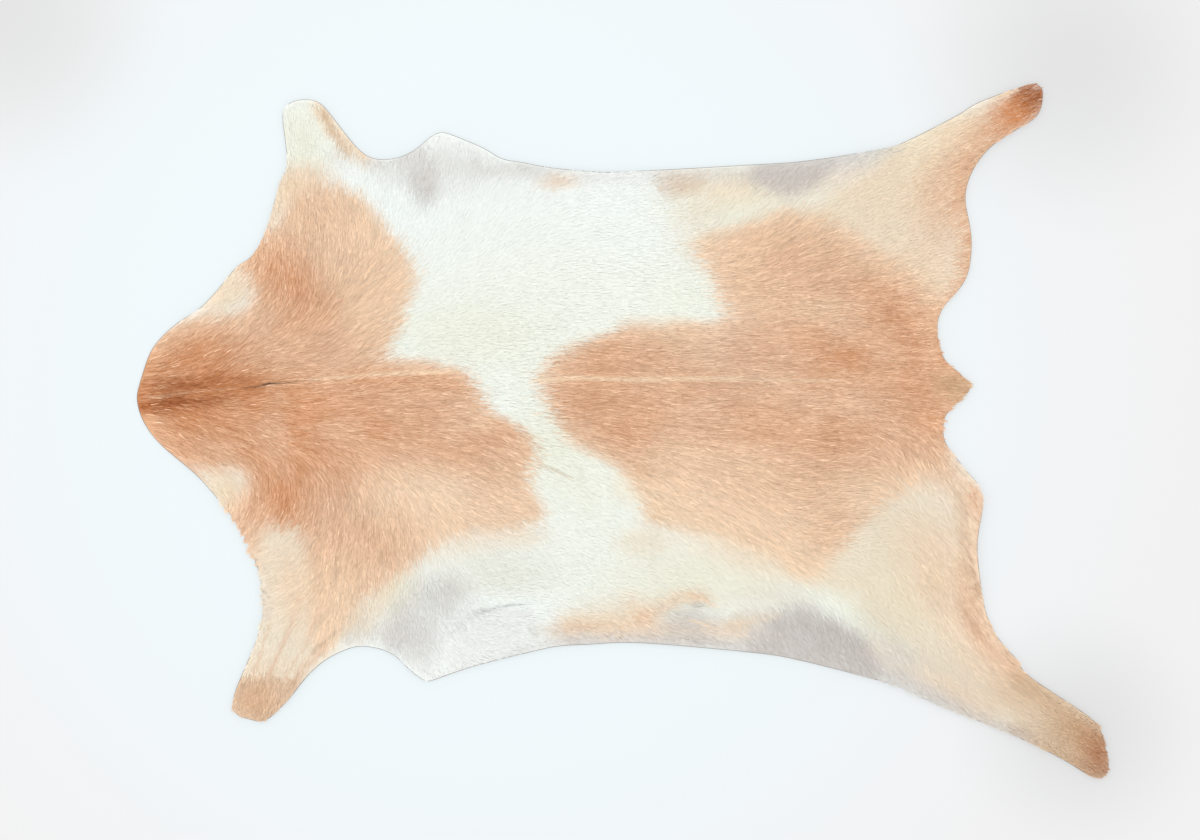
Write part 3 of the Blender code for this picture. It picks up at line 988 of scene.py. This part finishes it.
@dataclass(frozen=True)
class HairFinish:
    """Goat hair: every tone of the coat, streaked from lock to lock and paler at the tips."""

    white: Colour = screen(245, 248, 244)
    tones: dict[Tone, Colour] = field(
        default_factory=lambda: {
            Tone.CREAM: screen(241, 241, 225),
            Tone.GOLDEN: screen(238, 220, 192),
            Tone.FAWN: screen(241, 214, 184),
            Tone.TAN: screen(226, 183, 148),
            Tone.DEEP: screen(217, 149, 98),
            Tone.KHAKI: screen(198, 162, 124),
            Tone.BROWN: screen(162, 88, 38),
            Tone.GREY: screen(201, 193, 187),
            Tone.PALE: screen(247, 224, 192),
            # the colour of the painted shade in the creases, the furrow and at a fold's tip
            Tone.DARK: screen(62, 46, 34),
        }
    )
    streak: float = 0.08
    golden_streak: float = 0.2
    white_streak: float = 0.04
    tip_light: float = 0.02
    tip_start: float = 0.6
    strand_scale: float = 7.0
    strand_light: float = 0.04
    strand_relief: tuple[float, float] = (0.0003, 0.15)
    nap_scale: float = 900.0
    nap_shade: float = 0.99
    nap_light: float = 0.08
    nap_relief: tuple[float, float] = (0.0006, 0.4)
    roughness: float = 0.55
    gloss: float = 0.25

    def material(self, name: str, on_locks: bool) -> bpy.types.Material:
        """The finish for the locks, or for the nap of the skin between them.

        Args:
            name: the material's name.
            on_locks: whether the piece has the locks' own map and tints.

        Returns:
            The material.
        """
        graph = Graph(name)
        colour: Any = self.white
        for tone, shade in self.tones.items():
            colour = graph.blend(colour, shade, graph.attribute(tone.value))
        if on_locks:
            tint, rise = graph.attribute("tint"), graph.attribute("rise")
            fawn, golden = graph.attribute(Tone.FAWN.value), graph.attribute(Tone.GOLDEN.value)
            coloured = fawn + golden * self.golden_streak + self.white_streak
            value = 1.0 + self.streak * tint * coloured + self.tip_light * (rise - self.tip_start)
            place = graph.node("ShaderNodeUVMap", {"uv_map": "lock"}, {})
            strands = graph.noise(place, self.strand_scale, 2.0)
            value = value + self.strand_light * (strands - 0.5)
            normal = graph.bump(strands, *self.strand_relief)
        else:
            grain = graph.noise(graph.body(), self.nap_scale)
            value = self.nap_shade + self.nap_light * (grain - 0.5)
            normal = graph.bump(grain, *self.nap_relief)
        colour = graph.node("ShaderNodeHueSaturation", {}, {"Value": value, "Color": colour})
        graph.surface(Base_Color=colour, Normal=normal, Roughness=self.roughness)
        graph.surface(Specular_IOR_Level=self.gloss)
        return graph.material


@dataclass(frozen=True)
class FleshFinish:
    """The suede of the flesh side: pale, cloudy and finely scuffed, with faint broken veins."""

    pale: Colour = screen(226, 214, 196)
    dull: Colour = screen(200, 184, 162)
    vein: Colour = screen(184, 166, 146)
    mottle_scale: float = 9.0
    nap_scale: float = 55.0
    scuff_scale: float = 420.0
    vein_scale: float = 5.0
    vein_width: float = 0.012
    vein_strength: float = 0.4
    nap_share: float = 0.7
    scuff_share: float = 0.3
    mottle_height: float = 0.6
    relief: tuple[float, float] = (0.0006, 0.7)
    roughness: float = 0.9
    gloss: float = 0.2

    def material(self, name: str) -> bpy.types.Material:
        """The finish for the underside."""
        graph = Graph(name)
        place = graph.body()
        mottle = graph.noise(place, self.mottle_scale, 5.0)
        nap = graph.noise(place, self.nap_scale, 4.0)
        scuff = graph.noise(place, self.scuff_scale, 4.0)
        winding = graph.noise(place, self.vein_scale, 2.0)
        off_line = graph.node("ShaderNodeMath", {"operation": "ABSOLUTE"}, {0: winding - 0.5})
        ends = {"From Min": 0.0, "From Max": self.vein_width, "To Min": self.vein_strength, "To Max": 0.0}
        line = graph.node("ShaderNodeMapRange", {}, {"Value": off_line, **ends})
        share = mottle + self.nap_share * (nap - 0.5) + self.scuff_share * (scuff - 0.5)
        colour = graph.blend(self.dull, self.pale, share)
        colour = graph.blend(colour, self.vein, line * mottle)
        normal = graph.bump(mottle * self.mottle_height + scuff, *self.relief)
        graph.surface(Base_Color=colour, Normal=normal, Roughness=self.roughness)
        graph.surface(Specular_IOR_Level=self.gloss)
        return graph.material


@dataclass(frozen=True)
class CutFinish:
    """The raw cut edge of the leather, dull and greyed, and dark partly as painted contact shadow along the
    rim.
    """

    # both colours are dark partly as painted contact shadow along the rim of the hide
    leather: Colour = screen(150, 138, 128)
    soiled_and_shaded: Colour = screen(112, 102, 96)
    fibre_scale: float = 600.0
    relief: tuple[float, float] = (0.0004, 0.8)
    roughness: float = 0.85

    def material(self, name: str) -> bpy.types.Material:
        """The finish for the hide's edge."""
        graph = Graph(name)
        fibre = graph.noise(graph.body(), self.fibre_scale)
        graph.surface(Base_Color=graph.blend(self.leather, self.soiled_and_shaded, fibre), Roughness=self.roughness)
        graph.surface(Normal=graph.bump(fibre, *self.relief))
        return graph.material


def dressed_object(name: str, mesh: bpy.types.Mesh) -> bpy.types.Object:
    """Puts a mesh into the scene as a piece that rides on the rug."""
    piece = bpy.data.objects.new(name, mesh)
    bpy.context.scene.collection.objects.link(piece)
    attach(piece, "root")
    return piece


def keep_numbers(mesh: bpy.types.Mesh, name: str, numbers: np.ndarray) -> None:
    """Keeps a number for each point of a mesh under a name."""
    layer = mesh.attributes.new(name, "FLOAT", "POINT")
    layer.data.foreach_set("value", numbers.astype(np.float32))


@dataclass
class Leather:
    """The tanned skin: one thin sheet with a nap on top, suede below and a raw cut edge."""

    form: HideForm
    pattern: CoatPattern
    thickness: float = 1.4
    spacing: float = 4.5
    edge_step: float = 3.0
    edge_outset: float = 0.5
    edge_round: float = 0.5
    edge_smoothings: int = 3
    clearance: float = 0.7
    underfur: float = 0.72
    underfur_rise: tuple[float, float] = (2.0, 9.0)

    def edge_line(self) -> np.ndarray:
        """The leather's own smooth edge, without the teeth of the hair."""
        loop = self.form.edge
        closed = np.vstack([loop, loop[:1]])
        lengths = np.concatenate([[0], np.cumsum(np.linalg.norm(np.diff(closed, axis=0), axis=1))])
        count = int(lengths[-1] / self.edge_step)
        places = np.arange(count) * lengths[-1] / count
        line = np.stack([np.interp(places, lengths, closed[:, k]) for k in (0, 1)], axis=1)
        for _ in range(self.edge_smoothings):
            line = (np.roll(line, 1, axis=0) + 2 * line + np.roll(line, -1, axis=0)) / 4
        return self.inwards(line, -self.edge_outset)

    @staticmethod
    def inwards(line: np.ndarray, distance: float) -> np.ndarray:
        """A closed line that runs against the clock, moved inwards."""
        ways = np.roll(line, -1, axis=0) - np.roll(line, 1, axis=0)
        ways /= np.linalg.norm(ways, axis=1, keepdims=True)
        return line + np.stack([-ways[:, 1], ways[:, 0]], axis=1) * distance

    def build(self) -> bpy.types.Object:
        """Makes the sheet as one closed shell and dresses it."""
        rim = self.edge_line()
        inner = self.inwards(rim, self.edge_round)
        even = lattice(rim.min(0), rim.max(0), self.spacing)
        even = even[self.form.outside.at(even) < -self.spacing * self.clearance]
        spots = [Vector(spot) for spot in np.vstack([inner, even])]
        filled = geometry.delaunay_2d_cdt(spots, [], [list(range(len(inner)))], 1, 1e-6)
        places = np.array([tuple(place) for place in filled[0]])
        faces = np.array(filled[2])
        a, b, c = (places[faces[:, k]] for k in range(3))
        turn = (b[:, 0] - a[:, 0]) * (c[:, 1] - a[:, 1]) - (b[:, 1] - a[:, 1]) * (c[:, 0] - a[:, 0])
        faces[turn < 0] = faces[turn < 0][:, ::-1]
        below = self.form.bottom.at(places)
        above = below + self.thickness
        inside = soft_step(-self.form.outside.at(places), *self.underfur_rise)
        above = above + np.maximum(self.form.top.at(places) - above, 0) * self.underfur * inside
        count, ring = len(places), len(rim)
        side = self.form.bottom.at(rim)
        points = np.vstack([
            self.form.placed(places, above),
            self.form.placed(places, below),
            self.form.placed(rim, side + self.thickness - self.edge_round),
            self.form.placed(rim, side + self.edge_round),
        ])
        found_at = {source: i for i, sources in enumerate(filled[3]) for source in sources}
        order = [found_at[i] for i in range(ring)]
        upper, lower = 2 * count, 2 * count + ring
        walls = []
        for i in range(ring):
            j = (i + 1) % ring
            walls += [
                [order[j], order[i], upper + i, upper + j],
                [upper + j, upper + i, lower + i, lower + j],
                [lower + j, lower + i, count + order[i], count + order[j]],
            ]
        mesh = bpy.data.meshes.new("leather")
        mesh.from_pydata(points.tolist(), [], faces.tolist() + (faces[:, ::-1] + count).tolist() + walls)
        marks = [0] * len(faces) + [1] * len(faces) + [2] * len(walls)
        mesh.polygons.foreach_set("material_index", marks)
        mesh.shade_smooth()
        for tone, numbers in self.pattern.amounts(np.vstack([places, places, rim, rim])).items():
            keep_numbers(mesh, tone.value, numbers)
        mesh.materials.append(HairFinish().material("hair_nap", on_locks=False))
        mesh.materials.append(FleshFinish().material("flesh_suede"))
        mesh.materials.append(CutFinish().material("cut_leather"))
        piece = dressed_object("leather", mesh)
        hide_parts(HIDE_NODE)
        log.info("leather: %d faces", len(mesh.polygons))
        return piece


@dataclass
class Locks:
    """Every lock of the coat as rows of numbers, before they become meshes."""

    stations: np.ndarray
    headings: np.ndarray
    widths: np.ndarray
    heights: np.ndarray
    tints: np.ndarray
    tones: dict[Tone, np.ndarray]


@dataclass
class Coat:
    """The hair: flat tapered locks, rooted in the skin and lying along the flow of the coat."""

    form: HideForm
    pattern: CoatPattern
    lie: CoatLie
    skin: float = 1.4
    spacing: float = 1.35
    root_inset: float = 0.5
    width: float = 1.0
    width_spread: tuple[float, float] = (0.7, 1.3)
    roll: float = 0.08
    length_spread: tuple[float, float] = (0.72, 1.2)
    least_length: float = 3.5
    tuft_middle: float = 0.5
    tuft_swing: float = 1.2
    tuft_most: float = 1.3
    hang_spread: tuple[float, float] = (0.4, 1.0)
    hang_slack: float = 0.5
    shortenings: int = 6
    shortening: float = 0.72
    stray: float = 0.06
    clump_stray: float = 0.09
    tip_stray: float = 1.3
    proud_spread: tuple[float, float] = (-0.06, 0.03)
    colour_reach: float = 0.72
    colour_scatter: float = 0.36
    tone_streak: float = 0.24
    streak_step: float = 2.0
    wide_streak: float = 0.3
    tint_scatter: float = 0.6
    fleck_share: float = 0.12
    fleck_rise: float = 0.1
    fleck_tint: float = 1.6
    fleck_spread: tuple[float, float] = (-0.8, 1.0)
    piece_names: tuple[str, ...] = ("neck_hair", "shoulder_hair", "barrel_hair", "loin_hair", "haunch_hair")
    seed: int = 21

    RISES = (0.0, 0.78, 1.0)
    SIDES = (1.0, 0.9)
    STREAKED = {Tone.TAN: 1.0, Tone.DEEP: 1.0, Tone.BROWN: 1.0, Tone.GREY: 0.35}
    TUFTS = (5.0, 35)
    CLUMPS = ((30.0, 31), (6.0, 32))
    STREAKS = ((2.0, 33), (14.0, 34))
    ROLL_STEP = 2.4
    LEAST_HEIGHT = 0.2
    MAP_SHIFTS = (0.37, 0.61)
    MAP_CYCLE = 50
    LOCK_WIDENESS = (1.0, 0.7)
    BAKE_MARGIN = 0.1
    STATION_OF = (0, 0, 1, 1, 2)
    CORNERS = (1, 3, 2, 0, 3, 4, 2)
    FACE_STARTS = (0, 4)

    def roots(self, draw: np.random.Generator) -> np.ndarray:
        """Jittered even spots inside the cut edge."""
        spots = lattice(self.form.low, self.form.high, self.spacing)
        spots += draw.uniform(-0.5, 0.5, spots.shape) * self.spacing
        return spots[self.form.outside.at(spots) < -self.root_inset]

    def paths(
        self, roots: np.ndarray, lengths: np.ndarray, stray: np.ndarray
    ) -> tuple[np.ndarray, np.ndarray]:
        """The three stations of each lock and the headings at them."""
        halves = (lengths * 0.5)[:, None]
        first = self.lie.heading(roots) + stray
        middle = roots + directions(first) * halves
        second = self.lie.heading(middle) + stray * self.tip_stray
        tip = middle + directions(second) * halves
        return np.stack([roots, middle, tip], axis=1), np.stack([first, (first + second) / 2, second], axis=1)

    def grow(self) -> Locks:
        """Draws every lock, and shortens those that would hang too far over the cut edge."""
        draw = np.random.default_rng(self.seed)
        roots = self.roots(draw)
        lengths, overhangs = self.lie.growth(roots)
        lengths = lengths * draw.uniform(*self.length_spread, len(roots))
        tufts = self.tuft_middle + self.tuft_swing * Ripple(*self.TUFTS).at(roots)
        overhangs = overhangs * np.where(overhangs > 0, np.clip(tufts, 0.0, self.tuft_most), 1.0)
        overhangs = overhangs * draw.uniform(*self.hang_spread, len(roots))
        wide, narrow = (Ripple(*ripple).at(roots) for ripple in self.CLUMPS)
        stray = wide * self.stray + narrow * self.clump_stray
        stray = stray + draw.normal(0, self.stray, len(roots))
        for _ in range(self.shortenings):
            stations, headings = self.paths(roots, lengths, stray)
            too_far = self.form.outside.at(stations[:, 2]) > overhangs
            lengths = np.where(too_far, lengths * self.shortening, lengths)
        stations, headings = self.paths(roots, lengths, stray)
        hanging = self.form.outside.at(stations[:, 2])
        kept = (lengths > self.least_length) & (hanging <= overhangs + self.hang_slack)
        stations, headings, lengths = stations[kept], headings[kept], lengths[kept]
        count = len(lengths)
        flecked = draw.uniform(0, 1, count) < self.fleck_share
        proud = draw.uniform(*self.proud_spread, count) + self.fleck_rise * flecked
        heights = np.empty((count, 3))
        for k in range(3):
            base = self.form.bottom.at(stations[:, k]) + self.skin
            depth = self.form.top.at(stations[:, k]) - base
            heights[:, k] = base + depth * self.RISES[k] * (1 + proud)
        way = stations[:, 2] - stations[:, 0]
        seen = stations[:, 0] + way * draw.normal(self.colour_reach, self.colour_scatter, (count, 1))
        widths = self.width * draw.uniform(*self.width_spread, count)
        tints = self.streaks(seen, way / lengths[:, None]) + draw.normal(0, self.tint_scatter, count)
        tints = np.where(flecked, tints + self.fleck_tint * draw.uniform(*self.fleck_spread, count), tints)
        tones = self.pattern.amounts(seen)
        for tone, share in self.STREAKED.items():
            tones[tone] = np.clip(tones[tone] * (1 - share * self.tone_streak * tints), 0, 1)
        points = len(self.STATION_OF)
        tones = {tone: np.repeat(amounts[:, None], points, axis=1) for tone, amounts in tones.items()}
        for tone in (Tone.PALE, Tone.DARK):
            found = [self.pattern.lines(tone, stations[:, k]) for k in self.STATION_OF]
            tones[tone] = np.stack(found, axis=1)
        return Locks(stations, headings, widths, heights, tints, tones)

    def streaks(self, spots: np.ndarray, ways: np.ndarray) -> np.ndarray:
        """Long fine streaks that follow the hair, from about -1 to 1."""
        fine, wide = (Ripple(*ripple) for ripple in self.STREAKS)
        steps = np.arange(-2, 3) * self.streak_step
        total = sum(fine.at(spots + ways * step) for step in steps)
        return total / math.sqrt(len(steps)) + wide.at(spots) * self.wide_streak

    def piece(
        self, name: str, locks: Locks, chosen: np.ndarray, material: bpy.types.Material
    ) -> bpy.types.Object:
        """Joins the chosen locks into one mesh.

        Args:
            name: the piece's name.
            locks: every lock of the coat.
            chosen: the numbers of the locks that this piece holds.
            material: the hair's finish.

        Returns:
            The piece, riding on the rug.
        """
        stations, headings = locks.stations[chosen], locks.headings[chosen]
        widths, heights = locks.widths[chosen], locks.heights[chosen]
        count, size = len(chosen), len(self.STATION_OF)
        points = np.empty((count, size, 3))
        numbers = np.arange(count)
        rolls = np.sin(numbers * self.ROLL_STEP) * self.roll
        for k in (0, 1):
            side = np.stack([-np.sin(headings[:, k]), np.cos(headings[:, k])], axis=1)
            half = widths * self.SIDES[k] / 2
            for j, sign in enumerate((1, -1)):
                spots = stations[:, k] + side * (half * sign)[:, None]
                points[:, k * 2 + j] = self.form.placed(spots, heights[:, k] + half * rolls * sign)
        points[:, 4] = self.form.placed(stations[:, 2], heights[:, 2])
        points[:, :, 2] = np.maximum(points[:, :, 2], self.LEAST_HEIGHT * MM)
        corners = np.array(self.CORNERS)
        mesh = bpy.data.meshes.new(name)
        mesh.vertices.add(count * size)
        mesh.vertices.foreach_set("co", points.ravel())
        mesh.loops.add(count * len(corners))
        mesh.loops.foreach_set("vertex_index", (numbers[:, None] * size + corners).ravel())
        mesh.polygons.add(count * len(self.FACE_STARTS))
        starts = numbers[:, None] * len(corners) + self.FACE_STARTS
        mesh.polygons.foreach_set("loop_start", starts.ravel())
        mesh.update(calc_edges=True)
        mesh.shade_smooth()
        across = np.array([0, 1, 0, 1, 0.5])
        along = np.array([0, 0, 0.5, 0.5, 1])
        plain = np.stack([across, along], axis=1)[corners]
        shifts = numbers[:, None] * self.MAP_SHIFTS % self.MAP_CYCLE
        self.lay_map(mesh, "lock", plain[None] * self.LOCK_WIDENESS + shifts[:, None])
        columns = math.ceil(math.sqrt(count))
        cells = np.stack([numbers % columns, numbers // columns], axis=1)
        inner = self.BAKE_MARGIN + (1 - 2 * self.BAKE_MARGIN) * plain
        self.lay_map(mesh, "OFBake", (cells[:, None] + inner[None]) / columns)
        keep_numbers(mesh, "tint", np.repeat(locks.tints[chosen], size))
        keep_numbers(mesh, "rise", np.tile(along, count))
        for tone, amounts in locks.tones.items():
            keep_numbers(mesh, tone.value, amounts[chosen].ravel())
        mesh.materials.append(material)
        log.info("%s: %d locks", name, count)
        return dressed_object(name, mesh)

    @staticmethod
    def lay_map(mesh: bpy.types.Mesh, name: str, places: np.ndarray) -> None:
        """Gives a mesh a UV map from one place for each corner of its faces."""
        layer = mesh.uv_layers.new(name=name)
        layer.uv.foreach_set("vector", places.astype(np.float32).ravel())

    def build(self) -> list[bpy.types.Object]:
        """Makes the whole coat, in bands from the neck to the haunches."""
        locks = self.grow()
        material = HairFinish().material("goat_hair", on_locks=True)
        order = np.argsort(locks.stations[:, 0, 0], kind="stable")
        bands = np.array_split(order, len(self.piece_names))
        return [self.piece(name, locks, band, material) for name, band in zip(self.piece_names, bands)]


@dataclass
class Studio:
    """A pale floor, soft light all round, and a camera that looks straight down."""

    view_centre: tuple[float, float] = (-0.0229, 0.0109)
    view_width: float = 1.2
    view_end: float = 50.0
    lens: float = 85.0
    sensor: float = 36.0
    floor_size: float = 8.0
    floor_drop: float = 0.0005
    floor_centre: tuple[float, float, float] = (-0.13, 0.05, 0.0)
    floor_reach: tuple[float, float] = (0.3, 0.72)
    floor_colour: Colour = screen(219, 226, 228)
    # painted shadows on the floor: their colour, then the place and reach of each soft dim spot
    floor_painted_shadow_colour: Colour = screen(207, 207, 206)
    floor_painted_shadows: tuple[tuple[float, float, float], ...] = (
        (0.46, -0.3, 0.15), (0.45, 0.37, 0.2), (-0.62, 0.42, 0.2),
    )
    # painted shade: the floor turns greyer and dimmer away from its centre
    floor_rim_shade: Colour = screen(221, 220, 220)
    # the floor glows by itself: painted light
    floor_glow: float = 0.69
    floor_dimming: float = 0.55
    floor_roughness: float = 0.9
    floor_gloss: float = 0.1
    sky_colour: Colour = (0.97, 0.985, 1.0)
    sky_strength: float = 1.17
    lamp_size: float = 2.4
    lamp_place: tuple[float, float, float] = (-0.9, 1.1, 2.4)
    lamp_energy: float = 10.0

    @staticmethod
    def distance_share(graph: Graph, centre: tuple[float, float, float], near: float, far: float) -> Value:
        """How far a place on the floor is from a centre, from 0 when near to 1 when far."""
        places = {0: graph.body(), 1: centre}
        away = graph.node("ShaderNodeVectorMath", {"operation": "DISTANCE"}, places, "Value")
        limits = {"Value": away, "From Min": near, "From Max": far}
        return graph.node("ShaderNodeMapRange", {"interpolation_type": "SMOOTHSTEP"}, limits)

    def floor(self) -> None:
        """Lays a plain pale floor just under the rug that glows by itself, with painted shade that makes it a
        little dimmer towards its rim and corners, and soft painted shadows in three spots.
        """
        bpy.ops.mesh.primitive_plane_add(size=self.floor_size, location=(0, 0, -self.floor_drop))
        plane = bpy.context.object
        plane.name = "floor"
        graph = Graph("pale_floor")
        away = self.distance_share(graph, self.floor_centre, *self.floor_reach)
        colour = graph.blend(self.floor_colour, self.floor_rim_shade, away)
        # painted shadows: soft dim spots by the tip of the left hind leg and towards two corners
        for x, y, reach in self.floor_painted_shadows:
            away = self.distance_share(graph, (x, y, 0.0), 0.0, reach)
            colour = graph.blend(self.floor_painted_shadow_colour, colour, away)
        # the floor's own colour is dimmed and its glow makes up the rest: painted light that washes out the
        # rug's soft shadow on the floor
        dimmed = graph.blend(colour, (0.0, 0.0, 0.0), self.floor_dimming)
        graph.surface(Base_Color=dimmed, Roughness=self.floor_roughness, Specular_IOR_Level=self.floor_gloss)
        graph.surface(Emission_Color=colour, Emission_Strength=self.floor_glow)
        plane.data.materials.append(graph.material)

    def lights(self) -> None:
        """Soft light from all round, and a wide lamp from the neck's right side."""
        world = bpy.data.worlds.new("studio")
        world.use_nodes = True
        sky = world.node_tree.nodes["Background"]
        sky.inputs["Color"].default_value = (*self.sky_colour, 1.0)
        sky.inputs["Strength"].default_value = self.sky_strength
        bpy.context.scene.world = world
        lamp = bpy.data.lights.new("wide_lamp", "AREA")
        lamp.shape = "RECTANGLE"
        lamp.size = lamp.size_y = self.lamp_size
        lamp.energy = self.lamp_energy
        stand = bpy.data.objects.new("wide_lamp", lamp)
        stand.location = self.lamp_place
        stand.rotation_euler = (-stand.location).to_track_quat("-Z", "Y").to_euler()
        bpy.context.scene.collection.objects.link(stand)

    def camera(self) -> None:
        """Sets a camera straight above the rug, as wide as the picture."""
        data = bpy.data.cameras.new("camera")
        data.lens, data.sensor_width = self.lens, self.sensor
        data.clip_end = self.view_end
        camera = bpy.data.objects.new("camera", data)
        camera.location = (*self.view_centre, self.view_width * self.lens / self.sensor)
        bpy.context.scene.collection.objects.link(camera)
        bpy.context.scene.camera = camera

    def build(self) -> None:
        """Sets up the floor, the lights, the camera and a plain view transform."""
        self.floor()
        self.lights()
        self.camera()
        bpy.context.scene.view_settings.view_transform = "Standard"


def main() -> None:
    """Builds the rug and its studio, and reports each piece."""
    logging.basicConfig(level=logging.INFO, format="%(name)s: %(message)s", stream=sys.stdout)
    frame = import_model()
    form = HideForm(frame["nodes"][HIDE_NODE])
    pattern = CoatPattern()
    hair = Coat(form, pattern, CoatLie()).build()
    leather = Leather(form, pattern).build()
    size = (form.high - form.low) * MM
    Studio().build()


if __name__ == "__main__":
    main()
